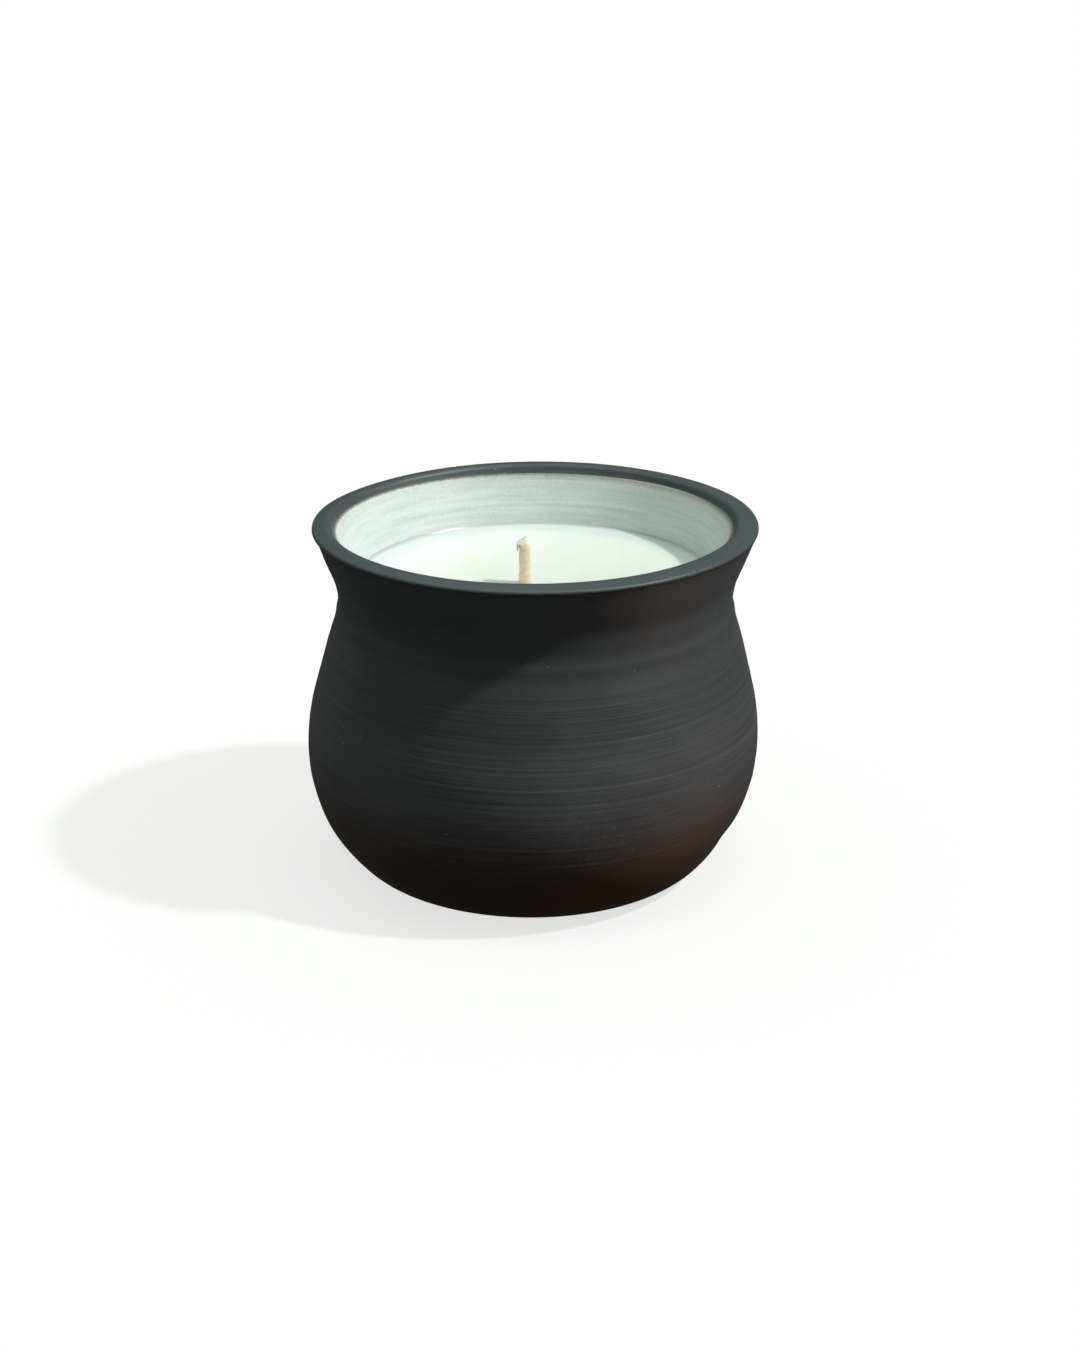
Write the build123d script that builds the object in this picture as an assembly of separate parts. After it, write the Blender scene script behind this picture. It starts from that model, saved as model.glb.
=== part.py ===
from build123d import *
import os
from math import acos, asin, atan2, cos, degrees, hypot, radians, sin, sqrt, tan

# A hand-thrown stoneware candle jar with a waist below its flared rim, glazed inside only,
# filled with wax round a tabbed wick. Units are millimetres. The jar stands on z = 0 and Z is
# its axis. Outlines are drawn as (radius, height) and turned about the axis.

os.makedirs("parts", exist_ok=True)

# Jar: outer outline, from the table up
HEEL_ARC = 10.0            # rounding from the foot into the belly
BELLY_RADIUS = 43.8        # widest radius
BELLY_HEIGHT = 25.0        # height of the widest radius
LOWER_BELLY_ARC = 32.0     # arc below the widest radius
UPPER_BELLY_ARC = 42.0     # arc above it
NECK_RADIUS = 37.8         # narrowest radius
NECK_HEIGHT = 54.2         # height of the narrowest radius
LOWER_NECK_ARC = 6.0       # hollow arc from the shoulder into the neck
UPPER_NECK_ARC = 15.0      # hollow arc from the neck into the flare
FLARE_LEAN = 22.4          # degrees that the flare leans outward from vertical
JAR_HEIGHT = 69.0

# Jar: rim, wall, floor and foot
LIP_OUTER_ARC = 0.6
LIP_INNER_ARC = 1.2
LIP_CREST_RADIUS = 39.6    # where the level crest ends and the lip slopes outward
LIP_SLOPE = 11.0           # degrees
WALL = 4.0                 # clay thickness
FLOOR = 5.0                # clay thickness over the foot
INNER_HEEL_ARC = 10.0      # rounding between the floor and the wall inside
FOOT_RING_INNER = 22.0     # inner radius of the ring that the jar stands on
FOOT_RECESS = 0.9          # depth trimmed away inside that ring
FOOT_RECESS_ARC = 0.8

# Glaze: a lining on the inside only, which thins out just below the lip
GLAZE = 0.4
GLAZE_EDGE_RADIUS = 37.3
GLAZE_EDGE_HEIGHT = 67.4
GLAZE_EDGE_SLOPE = 35.0    # degrees

# Wax
WAX_LEVEL = 57.4
MENISCUS_ARC = 1.2
MENISCUS_CLIMB = 0.5       # how far the wax climbs the wall

# Wick and what holds its foot
STICKER_RADIUS = 10.0
STICKER_THICKNESS = 1.0
TAB_RADIUS = 10.0
TAB_THICKNESS = 0.3
TAB_STEP_RADIUS = 6.5      # a shallow step pressed into the tab stiffens it
TAB_STEP_RISE = 0.4
TAB_NECK_HEIGHT = 6.0      # crimped tube that grips the wick
TAB_NECK_ARC = 1.0
WICK_DIAMETER = 2.3
WICK_EXPOSED = 9.0
WICK_SURFACE_POINT = (-1.55, -2.6)  # where the wick leaves the wax
WICK_TIP_POINT = (-1.65, -2.8)
WICK_CUT_ANGLE = 36.0      # slope of the snipped end, in degrees
WICK_CUT_HEADING = -115.0  # the way it slopes down, in degrees from +X towards +Y
WICK_BEND_RADIUS = 60.0

# Worked out from the dimensions above
LOWER_BELLY_CENTRE = (BELLY_RADIUS - LOWER_BELLY_ARC, BELLY_HEIGHT)
UPPER_BELLY_CENTRE = (BELLY_RADIUS - UPPER_BELLY_ARC, BELLY_HEIGHT)
LOWER_NECK_CENTRE = (NECK_RADIUS + LOWER_NECK_ARC, NECK_HEIGHT)
UPPER_NECK_CENTRE = (NECK_RADIUS + UPPER_NECK_ARC, NECK_HEIGHT)
GLAZE_FLOOR = FLOOR + GLAZE
TAB_BASE = GLAZE_FLOOR + STICKER_THICKNESS
TAB_NECK_TOP = TAB_BASE + TAB_THICKNESS + TAB_STEP_RISE + TAB_NECK_HEIGHT
WIDE = BELLY_RADIUS + 10.0  # beyond every radius of the jar


def shoulder_lean():
    """Degrees that the straight shoulder leans inward, tangent to the belly and neck arcs."""
    across = LOWER_NECK_CENTRE[0] - UPPER_BELLY_CENTRE[0]
    up = LOWER_NECK_CENTRE[1] - UPPER_BELLY_CENTRE[1]
    spread = acos((UPPER_BELLY_ARC + LOWER_NECK_ARC) / hypot(across, up))
    return degrees(atan2(up, across) - spread)


def on_circle(centre, radius, angle):
    """The point of a circle at an angle in degrees, where 0 points away from the jar's axis."""
    return (centre[0] + radius * cos(radians(angle)), centre[1] + radius * sin(radians(angle)))


def arc(centre, radius, start, end):
    """An arc from one angle to another, in degrees."""
    return CenterArc(centre, radius, start, end - start)


def wall_outline(depth, base, heel_radius):
    """Edges of the wall at a depth below the outer surface, from the axis to the rim's height."""
    lower_radius = LOWER_BELLY_ARC - depth
    heel_height = base + heel_radius
    drop = BELLY_HEIGHT - heel_height
    reach = sqrt((lower_radius - heel_radius) ** 2 - drop ** 2)
    heel_centre = (LOWER_BELLY_CENTRE[0] + reach, heel_height)
    heel_end = -degrees(asin(drop / (lower_radius - heel_radius)))
    lean = shoulder_lean()
    shoulder_start = on_circle(UPPER_BELLY_CENTRE, UPPER_BELLY_ARC - depth, lean)
    shoulder_end = on_circle(LOWER_NECK_CENTRE, LOWER_NECK_ARC + depth, 180 + lean)
    flare_start = on_circle(UPPER_NECK_CENTRE, UPPER_NECK_ARC + depth, 180 - FLARE_LEAN)
    flare_rise = JAR_HEIGHT - flare_start[1]
    flare_end = (flare_start[0] + flare_rise * tan(radians(FLARE_LEAN)), JAR_HEIGHT)
    return [
        Line((0, base), (heel_centre[0], base)),
        arc(heel_centre, heel_radius, -90, heel_end),
        arc(LOWER_BELLY_CENTRE, lower_radius, heel_end, 0),
        arc(UPPER_BELLY_CENTRE, UPPER_BELLY_ARC - depth, 0, lean),
        Line(shoulder_start, shoulder_end),
        arc(LOWER_NECK_CENTRE, LOWER_NECK_ARC + depth, 180 + lean, 180),
        arc(UPPER_NECK_CENTRE, UPPER_NECK_ARC + depth, 180, 180 - FLARE_LEAN),
        Line(flare_start, flare_end),
    ]


def filled_outline(depth, base, heel_radius):
    """The half section of everything inside the wall at a depth, closed at the axis and rim."""
    wall = wall_outline(depth, base, heel_radius)
    rim_end = wall[-1] @ 1
    across = Line((rim_end.X, rim_end.Y), (0, JAR_HEIGHT))
    axis = Line((0, JAR_HEIGHT), (0, base))
    return make_face(wall + [across, axis])


def turned(section):
    """A half section turned about the jar's axis."""
    return revolve(Plane.XZ * section, Axis.Z)


def clay_cavity():
    return filled_outline(WALL, FLOOR, INNER_HEEL_ARC)


def glazed_cavity():
    return filled_outline(WALL + GLAZE, GLAZE_FLOOR, INNER_HEEL_ARC - GLAZE)


def above_lip():
    """What is trimmed off the flare's end, so that the lip slopes outward from its crest."""
    drop = (WIDE - LIP_CREST_RADIUS) * tan(radians(LIP_SLOPE))
    return make_face(Polyline(
        (LIP_CREST_RADIUS, JAR_HEIGHT),
        (WIDE, JAR_HEIGHT),
        (WIDE, JAR_HEIGHT - drop),
        close=True,
    ))


def jar_body():
    """The clay jar: a wall with a rounded, sloping lip, a floor and a ring foot with a recess."""
    section = filled_outline(0, 0, HEEL_ARC) - clay_cavity() - above_lip()
    lip = section.vertices().filter_by_position(Axis.Y, JAR_HEIGHT - 1, JAR_HEIGHT)
    section = fillet(lip.sort_by(Axis.X)[-1], LIP_OUTER_ARC)
    lip = section.vertices().group_by(Axis.Y)[-1]
    section = fillet(lip.sort_by(Axis.X)[0], LIP_INNER_ARC)
    recess = make_face(Polyline(
        (0, -1),
        (FOOT_RING_INNER, -1),
        (FOOT_RING_INNER, FOOT_RECESS),
        (0, FOOT_RECESS),
        close=True,
    ))
    corner = recess.vertices().sort_by(SortBy.DISTANCE)[-1]
    return turned(section - fillet(corner, FOOT_RECESS_ARC))


def interior_glaze():
    """The thin glaze over the floor and inner wall, with a sloped upper edge."""
    slope = tan(radians(GLAZE_EDGE_SLOPE))
    below_edge = make_face(Polyline(
        (0, 0),
        (WIDE, 0),
        (WIDE, GLAZE_EDGE_HEIGHT + (WIDE - GLAZE_EDGE_RADIUS) * slope),
        (0, GLAZE_EDGE_HEIGHT - GLAZE_EDGE_RADIUS * slope),
        close=True,
    ))
    return turned((clay_cavity() - glazed_cavity()) & below_edge)


def wick_sticker():
    """The foam adhesive disc that holds the tab to the floor."""
    disc = Cylinder(STICKER_RADIUS, STICKER_THICKNESS, align=(Align.CENTER, Align.CENTER, Align.MIN))
    return Pos(0, 0, GLAZE_FLOOR) * disc


def wick_sustainer():
    """The tinplate tab: a disc with a pressed step and a crimped neck, all one sheet thick."""
    bore = WICK_DIAMETER / 2
    neck = bore + TAB_THICKNESS
    step_top = TAB_BASE + TAB_STEP_RISE
    outline = make_face(Polyline(
        (bore, step_top),
        (TAB_STEP_RADIUS, step_top),
        (TAB_STEP_RADIUS + TAB_STEP_RISE, TAB_BASE),
        (TAB_RADIUS, TAB_BASE),
        (TAB_RADIUS, TAB_BASE + TAB_THICKNESS),
        (TAB_STEP_RADIUS + TAB_STEP_RISE, TAB_BASE + TAB_THICKNESS),
        (TAB_STEP_RADIUS, step_top + TAB_THICKNESS),
        (neck, step_top + TAB_THICKNESS),
        (neck, TAB_NECK_TOP),
        (bore, TAB_NECK_TOP),
        close=True,
    ))
    corner = outline.vertices().filter_by_position(
        Axis.Y, step_top + TAB_THICKNESS, step_top + TAB_THICKNESS
    ).sort_by(Axis.X)[0]
    return turned(fillet(corner, TAB_NECK_ARC))


def wick():
    """The braided wick as a round cord, upright in its tab and leaning a little above the wax."""
    surface = (*WICK_SURFACE_POINT, WAX_LEVEL)
    tip = (*WICK_TIP_POINT, WAX_LEVEL + WICK_EXPOSED)
    beyond_tip = Vector(*tip) + (Vector(*tip) - Vector(*surface)) * 0.3
    centre_line = FilletPolyline(
        (0, 0, TAB_BASE + TAB_STEP_RISE),
        (0, 0, TAB_NECK_TOP + WICK_DIAMETER),
        surface,
        beyond_tip,
        radius=WICK_BEND_RADIUS,
    )
    start = Plane(centre_line @ 0, z_dir=centre_line % 0)
    cord = sweep(start * Circle(WICK_DIAMETER / 2), centre_line)
    snip_radius = WICK_DIAMETER / 2 * tan(radians(WICK_CUT_ANGLE))
    lean = sin(radians(WICK_CUT_ANGLE))
    heading = radians(WICK_CUT_HEADING)
    snip_normal = (lean * cos(heading), lean * sin(heading), cos(radians(WICK_CUT_ANGLE)))
    snip = Plane((tip[0], tip[1], tip[2] - snip_radius), z_dir=snip_normal)
    return split(cord, bisect_by=snip, keep=Keep.BOTTOM)


def wax_fill(inserts):
    """The poured wax, level on top with a meniscus at the wall, set round the inserts."""
    climb_height = WAX_LEVEL + MENISCUS_CLIMB - NECK_HEIGHT
    wall_radius = UPPER_NECK_ARC + WALL + GLAZE
    wall = UPPER_NECK_CENTRE[0] - sqrt(wall_radius ** 2 - climb_height ** 2)
    run = sqrt(MENISCUS_ARC ** 2 - (MENISCUS_ARC - MENISCUS_CLIMB) ** 2)
    meniscus_centre = (wall - run, WAX_LEVEL + MENISCUS_ARC)
    meniscus_top = on_circle(meniscus_centre, MENISCUS_ARC, -20)
    below_surface = make_face([
        Line((0, WAX_LEVEL), (meniscus_centre[0], WAX_LEVEL)),
        arc(meniscus_centre, MENISCUS_ARC, -90, -20),
        Line(meniscus_top, (WIDE, meniscus_top[1])),
        Line((WIDE, meniscus_top[1]), (WIDE, 0)),
        Line((WIDE, 0), (0, 0)),
        Line((0, 0), (0, WAX_LEVEL)),
    ])
    wax = turned(glazed_cavity() & below_surface)
    for insert in inserts:
        wax -= insert
    # No wax gets into the small gap under the tab's step, so only the main solid is kept.
    return wax.solids().sort_by(SortBy.VOLUME)[-1]


def main():
    sticker = wick_sticker()
    sustainer = wick_sustainer()
    cord = wick()
    nodes = {
        "jar_body": jar_body(),
        "interior_glaze": interior_glaze(),
        "wax_fill": wax_fill([sticker, sustainer, cord]),
        "wick": cord,
        "wick_sustainer": sustainer,
        "wick_sticker": sticker,
    }
    for name, shape in nodes.items():
        export_step(shape, f"parts/{name}.step")
        size = shape.bounding_box().size
        print(name, len(shape.solids()), round(shape.volume, 1), [round(v, 2) for v in size])


main()
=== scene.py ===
import math

import bpy
import numpy as np
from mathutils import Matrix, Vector


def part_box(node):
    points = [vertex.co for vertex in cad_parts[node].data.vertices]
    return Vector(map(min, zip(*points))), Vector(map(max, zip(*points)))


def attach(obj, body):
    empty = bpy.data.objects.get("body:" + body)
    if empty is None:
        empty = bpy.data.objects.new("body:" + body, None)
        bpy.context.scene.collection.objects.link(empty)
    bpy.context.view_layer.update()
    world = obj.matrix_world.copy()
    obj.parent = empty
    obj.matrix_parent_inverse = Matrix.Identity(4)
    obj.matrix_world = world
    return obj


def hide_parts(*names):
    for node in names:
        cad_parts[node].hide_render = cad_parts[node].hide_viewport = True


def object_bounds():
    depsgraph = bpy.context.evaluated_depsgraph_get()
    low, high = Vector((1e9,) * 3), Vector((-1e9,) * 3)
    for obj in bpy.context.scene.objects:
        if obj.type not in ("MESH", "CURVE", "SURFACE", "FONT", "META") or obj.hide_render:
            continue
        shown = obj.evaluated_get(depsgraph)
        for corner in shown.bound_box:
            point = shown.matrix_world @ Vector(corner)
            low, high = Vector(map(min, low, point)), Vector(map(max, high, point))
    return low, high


# A hand-thrown black stoneware candle jar, white-glazed inside and filled with ivory wax round a
# trimmed wick. Meshes are worked out in millimetres, about the jar's axis with z = 0 on the table,
# and written in metres. The CAD frame fixes the sizes, and the thrown irregularities stay within
# a millimetre of it.

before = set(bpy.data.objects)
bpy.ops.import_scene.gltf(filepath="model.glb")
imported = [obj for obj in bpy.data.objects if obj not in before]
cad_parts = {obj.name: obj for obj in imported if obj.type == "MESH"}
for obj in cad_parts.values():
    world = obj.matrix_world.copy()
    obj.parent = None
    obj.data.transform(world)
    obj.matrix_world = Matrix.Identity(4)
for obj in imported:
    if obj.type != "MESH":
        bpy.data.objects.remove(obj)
cad_low, cad_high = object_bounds()

MM = 0.001
TURN = 2 * math.pi

# The jar's driving sizes, in millimetres, as in the CAD model
BELLY_RADIUS = cad_high.x / MM
JAR_HEIGHT = cad_high.z / MM
HEEL_ARC = 10.0
BELLY_HEIGHT = 25.0
LOWER_BELLY_ARC = 32.0
UPPER_BELLY_ARC = 42.0
NECK_RADIUS = 37.8
NECK_HEIGHT = 54.2
LOWER_NECK_ARC = 6.0
UPPER_NECK_ARC = 15.0
FLARE_LEAN = 22.4
LIP_OUTER_ARC = 0.6
LIP_INNER_ARC = 1.2
LIP_CREST_RADIUS = 39.6
LIP_SLOPE = 11.0
WALL = 4.0
FLOOR = 5.0
INNER_HEEL_ARC = 10.0
FOOT_RING_INNER = 22.0
FOOT_RECESS = 0.9
FOOT_RECESS_ARC = 0.8
GLAZE = 0.4
GLAZE_EDGE_HEIGHT = 67.4
WAX_LEVEL = 57.4
MENISCUS_ARC = 1.0
MENISCUS_CLIMB = 0.65
WAX_SINK = 0.55            # how far the wax has sunk round the wick
WICK_RADIUS = 1.15
WICK_X = (-1.55, -1.65)    # at the wax and at the tip
WICK_Y = (-2.6, -2.8)
SEGMENTS = 240             # faces round the jar, the same for every turned piece


# ---------------------------------------------------------------- outlines

def arc(centre, radius, start, end, step):
    """Points of an arc between two angles in degrees, where 0 points away from the axis."""
    length = abs(math.radians(end - start)) * radius
    angles = np.radians(np.linspace(start, end, max(3, math.ceil(length / step) + 1)))
    return np.column_stack([centre[0] + radius * np.cos(angles), centre[1] + radius * np.sin(angles)])


def line(start, end, step):
    """Points of a straight run."""
    start, end = np.array(start, float), np.array(end, float)
    count = max(2, math.ceil(np.linalg.norm(end - start) / step) + 1)
    return start + (end - start) * np.linspace(0, 1, count)[:, None]


def chain(*runs):
    """Runs of points joined end to end, without repeated points."""
    points = np.vstack(runs)
    apart = np.linalg.norm(np.diff(points, axis=0), axis=1) > 1e-4
    return points[np.concatenate([[True], apart])]


def shoulder_lean():
    """Degrees that the straight shoulder leans inward, tangent to the belly and neck arcs."""
    across = NECK_RADIUS + LOWER_NECK_ARC - (BELLY_RADIUS - UPPER_BELLY_ARC)
    up = NECK_HEIGHT - BELLY_HEIGHT
    spread = math.acos((UPPER_BELLY_ARC + LOWER_NECK_ARC) / math.hypot(across, up))
    return math.degrees(math.atan2(up, across) - spread)


def flare_radius(depth, height):
    """Radius of the straight flare at a height, at a depth below the outer surface."""
    lean = math.radians(FLARE_LEAN)
    start = NECK_RADIUS + UPPER_NECK_ARC - (UPPER_NECK_ARC + depth) * math.cos(lean)
    start_height = NECK_HEIGHT + (UPPER_NECK_ARC + depth) * math.sin(lean)
    return start + (height - start_height) * math.tan(lean)


def wall_curve(depth, base, heel_radius, top, step):
    """The wall at a depth below the outer surface, from the foot up to a height on the flare."""
    lower_radius = LOWER_BELLY_ARC - depth
    drop = BELLY_HEIGHT - base - heel_radius
    reach = math.sqrt((lower_radius - heel_radius) ** 2 - drop ** 2)
    heel_end = -math.degrees(math.asin(drop / (lower_radius - heel_radius)))
    heel = (BELLY_RADIUS - LOWER_BELLY_ARC + reach, base + heel_radius)
    lower_neck = (NECK_RADIUS + LOWER_NECK_ARC, NECK_HEIGHT)
    upper_neck = (NECK_RADIUS + UPPER_NECK_ARC, NECK_HEIGHT)
    lean = shoulder_lean()
    shoulder = arc((BELLY_RADIUS - UPPER_BELLY_ARC, BELLY_HEIGHT), UPPER_BELLY_ARC - depth, 0, lean, step)
    hollow = arc(lower_neck, LOWER_NECK_ARC + depth, 180 + lean, 180, step)
    flare = arc(upper_neck, UPPER_NECK_ARC + depth, 180, 180 - FLARE_LEAN, step)
    return chain(
        arc(heel, heel_radius, -90, heel_end, step),
        arc((BELLY_RADIUS - LOWER_BELLY_ARC, BELLY_HEIGHT), lower_radius, heel_end, 0, step),
        shoulder,
        line(shoulder[-1], hollow[0], step),
        hollow,
        flare,
        line(flare[-1], (flare_radius(depth, top), top), step),
    )


# ---------------------------------------------------------------- hand-made irregularity

def smooth(value, low, high):
    """Rises smoothly from 0 at low to 1 at high."""
    t = np.clip((value - low) / (high - low), 0, 1)
    return t * t * (3 - 2 * t)


def bump(value, centre, width):
    """A rounded bump of height 1."""
    return np.exp(-((value - centre) / width) ** 2)


def ripple(angle, orders, seed):
    """A wave that closes round the jar, about 1 high, from harmonics of random size and phase."""
    rng = np.random.default_rng(seed)
    total = np.zeros_like(angle)
    for order in orders:
        total += rng.uniform(0.4, 1.0) * np.sin(order * angle + rng.uniform(0, TURN))
    return total / math.sqrt(len(orders))


def angle_from(angle, centre):
    """Angle measured from a centre in degrees, wrapped to half a turn each way."""
    return (angle - math.radians(centre) + math.pi) % TURN - math.pi


def warped(x, y, z):
    """Where the thrown jar differs from a true one: it leans, is slightly oval, its bore is off
    centre near the mouth, and its rim dips at the back left."""
    angle = np.arctan2(y, x)
    radius = np.hypot(x, y)
    inside = smooth(flare_radius(0, z) - radius, 0.3, 3.8)
    radius = radius * (1 + 0.0022 * np.cos(2 * (angle - 0.6)) * smooth(z, 5, 60))
    lean = -0.42 + 0.85 * smooth(z, 4, 54) - 0.4 * inside * smooth(z, 56, 66)
    dip = 0.32 * bump(angle_from(angle, 142), 0, 0.6) * smooth(z, 57, 68)
    return radius * np.cos(angle) + lean, radius * np.sin(angle), z - dip


def grooves(height, angle, count, low, high, widths, depth, seed):
    """Throwing lines: shallow grooves of random depth and length that fade at both ends."""
    rng = np.random.default_rng(seed)
    total = np.zeros(np.broadcast(height, angle).shape)
    for _ in range(count):
        centre = rng.uniform(low, high)
        width = rng.uniform(*widths)
        deep = depth * rng.gamma(1.5, 0.6)
        start = rng.uniform(0, TURN)
        span = rng.uniform(1.0, 5.6)
        rise = rng.uniform(0.0, 0.35)
        along = (angle - start) % TURN
        window = smooth(along, 0, 0.6) * (1 - smooth(along, span - 0.6, span))
        total -= deep * window * bump(height, centre + rise * along, width)
    return total


def rings(height, angle, places):
    """Raised or sunk rings round the jar, each (height, width, how far it stands out)."""
    total = np.zeros(np.broadcast(height, angle).shape)
    for index, (centre, width, out) in enumerate(places):
        wander = 0.18 * ripple(angle, (1, 2, 3), 40 + index)
        swell = 1 + 0.25 * ripple(angle, (1, 2, 4), 60 + index)
        total += out * swell * bump(height, centre + wander, width)
    return total


# Rings on each side of the wall: (height, width, how far it stands out)
OUTER_RINGS = (
    (52.2, 1.1, 0.12),
    (54.9, 1.3, -0.05),
    (49.2, 1.6, -0.05),
    (46.3, 0.6, -0.025),
    (39.5, 0.25, -0.045),
    (38.5, 0.5, 0.02),
    (31.6, 0.3, -0.03),
    (19.5, 1.2, 0.03),
)

INNER_RINGS = (
    (61.75, 0.3, 0.055),
    (60.95, 0.45, -0.06),
    (63.6, 0.3, 0.02),
    (65.6, 0.9, 0.02),
    (59.3, 0.6, -0.02),
)


def outer_relief(height, angle):
    """How far the outside of the wall stands proud of the true outline, in millimetres."""
    lined = smooth(height, 10, 18) * (1 - smooth(height, 46, 49))
    relief = grooves(height, angle, 260, 10, 48, (0.12, 0.22), 0.007, 3) * lined
    relief += grooves(height, angle, 30, 12, 47, (0.2, 0.45), 0.007, 5) * lined
    relief += rings(height, angle, OUTER_RINGS)
    relief += 0.05 * ripple(angle, (2, 3, 5), 21) * smooth(height, 10, 30)
    fuller_left = bump(angle_from(angle, 180), 0, 0.9) * bump(height, 10.0, 4.0)
    hollow_shoulder = bump(height, 50.5, 3.0)
    narrower_lip = (0.17 - 0.08 * np.cos(angle)) * smooth(height, 62, 67.5)
    facet = bump(angle_from(angle, -18), 0, 0.35) * bump(height, 9.0, 2.6)
    return relief + 0.2 * fuller_left - 0.2 * hollow_shoulder - narrower_lip - 0.4 * facet


# ---------------------------------------------------------------- mesh building

def make_object(name, points, faces, material, slot, *nodes):
    """A smooth-shaded piece from points in millimetres, standing for CAD nodes."""
    mesh = bpy.data.meshes.new(name)
    mesh.from_pydata((np.asarray(points) * MM).tolist(), [], faces)
    mesh.validate()
    mesh.polygons.foreach_set("use_smooth", [True] * len(mesh.polygons))
    mesh.update()
    piece = bpy.data.objects.new(name, mesh)
    bpy.context.scene.collection.objects.link(piece)
    mesh.materials.append(material)
    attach(piece, "root")
    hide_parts(*nodes)
    return piece


def grid_faces(rows, columns, first=0, closed=False):
    """Quads between rows of points, each row closed on itself."""
    faces = []
    for row in range(rows if closed else rows - 1):
        here = first + row * columns
        above = first + ((row + 1) % rows) * columns
        for column in range(columns):
            beside = (column + 1) % columns
            faces.append((here + column, here + beside, above + beside, above + column))
    return faces


def turned_faces(rows, columns):
    """Faces of a turned solid whose outline starts and ends on the axis."""
    faces = grid_faces(rows, columns, first=1)
    top = 1 + rows * columns
    last_row = 1 + (rows - 1) * columns
    for column in range(columns):
        beside = (column + 1) % columns
        faces.append((0, 1 + beside, 1 + column))
        faces.append((top, last_row + column, last_row + beside))
    return faces


def round_angles(columns=SEGMENTS):
    """A row of equally spaced angles round the jar."""
    return np.linspace(0, TURN, columns, endpoint=False)[None, :]


def outline_normals(outline):
    """Unit normals on the right of an outline's direction of travel."""
    along = np.gradient(outline, axis=0)
    along /= np.linalg.norm(along, axis=1)[:, None]
    return np.column_stack([along[:, 1], -along[:, 0]])


def turned_points(outline, relief):
    """Points of an outline turned about the axis, moved along its normals by a relief grid."""
    normals = outline_normals(outline)
    angle = round_angles()
    radius = outline[:, :1] + normals[:, :1] * relief
    height = outline[:, 1:] + normals[:, 1:] * relief
    x, y, z = warped(radius * np.cos(angle), radius * np.sin(angle), height)
    return np.stack([x, y, z], -1)


def turned_piece(name, outline, relief, material, slot, node):
    """A turned solid with one point on the axis at each end of its outline."""
    rows = turned_points(outline[1:-1], relief[1:-1])
    zero = np.zeros(1)
    first, last = (np.stack(warped(zero, zero, outline[end, 1:]), -1) for end in (0, -1))
    points = np.vstack([first, rows.reshape(-1, 3), last])
    return make_object(name, points, turned_faces(len(rows), SEGMENTS), material, slot, node)


def paint(piece, name, values):
    """Stores one number per point of the mesh for its material to read."""
    layer = piece.data.attributes.new(name, "FLOAT", "POINT")
    layer.data.foreach_set("value", np.asarray(values, np.float32).ravel())


# ---------------------------------------------------------------- pieces

def lip_arcs():
    """The arc from the flare to the sloping lip, and the arc from its level crest to the inside."""
    lean, slope = math.radians(FLARE_LEAN), math.radians(LIP_SLOPE)
    start = flare_radius(LIP_OUTER_ARC, 0) - LIP_CREST_RADIUS
    height = JAR_HEIGHT - LIP_OUTER_ARC / math.cos(slope) - start * math.tan(slope)
    height /= 1 + math.tan(lean) * math.tan(slope)
    outer_centre = (flare_radius(LIP_OUTER_ARC, height), height)
    inner_height = JAR_HEIGHT - LIP_INNER_ARC
    inner_centre = (flare_radius(WALL - LIP_INNER_ARC, inner_height), inner_height)
    outer_arc = arc(outer_centre, LIP_OUTER_ARC, -FLARE_LEAN, 90 - LIP_SLOPE, 0.08)
    inner_arc = arc(inner_centre, LIP_INNER_ARC, 90, 180 - FLARE_LEAN, 0.12)
    return outer_arc, inner_arc


def jar_outline():
    """The clay's outline: under the foot, up the outside, over the lip and down the inside."""
    outer_arc, inner_arc = lip_arcs()
    recess_corner = (FOOT_RING_INNER - FOOT_RECESS_ARC, FOOT_RECESS - FOOT_RECESS_ARC)
    outside = wall_curve(0, 0, HEEL_ARC, outer_arc[0][1], 0.275)
    inside = wall_curve(WALL, FLOOR, INNER_HEEL_ARC, 65.0, 2.2)[::-1]
    foot = chain(
        line((0, FOOT_RECESS), (recess_corner[0], FOOT_RECESS), 2.0),
        arc(recess_corner, FOOT_RECESS_ARC, 90, 7, 0.2),
        line((FOOT_RING_INNER, 0), outside[0], 0.8),
    )
    outline = chain(
        foot,
        outside,
        outer_arc,
        line(outer_arc[-1], (LIP_CREST_RADIUS, JAR_HEIGHT), 0.2),
        line((LIP_CREST_RADIUS, JAR_HEIGHT), inner_arc[0], 0.2),
        inner_arc,
        line(inner_arc[-1], inside[0], 0.25),
        inside,
        line(inside[-1], (0, FLOOR), 3.0),
    )
    is_outside = np.zeros(len(outline))
    is_outside[len(foot):len(foot) + len(outside)] = 1
    return outline, is_outside


def jar_body(material):
    """The clay jar with its throwing lines, shoulder ring and slightly flattened lower right."""
    outline, is_outside = jar_outline()
    angle = round_angles()
    height = outline[:, 1:]
    relief = outer_relief(height, angle) * is_outside[:, None]
    lip = smooth(height, 66.5, 68.5) * (outline[:, :1] > 36)
    relief += 0.05 * ripple(angle, (2, 3, 5, 7), 9) * lip
    return turned_piece("thrown_jar", outline, relief, material, "stoneware", "jar_body")


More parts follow.
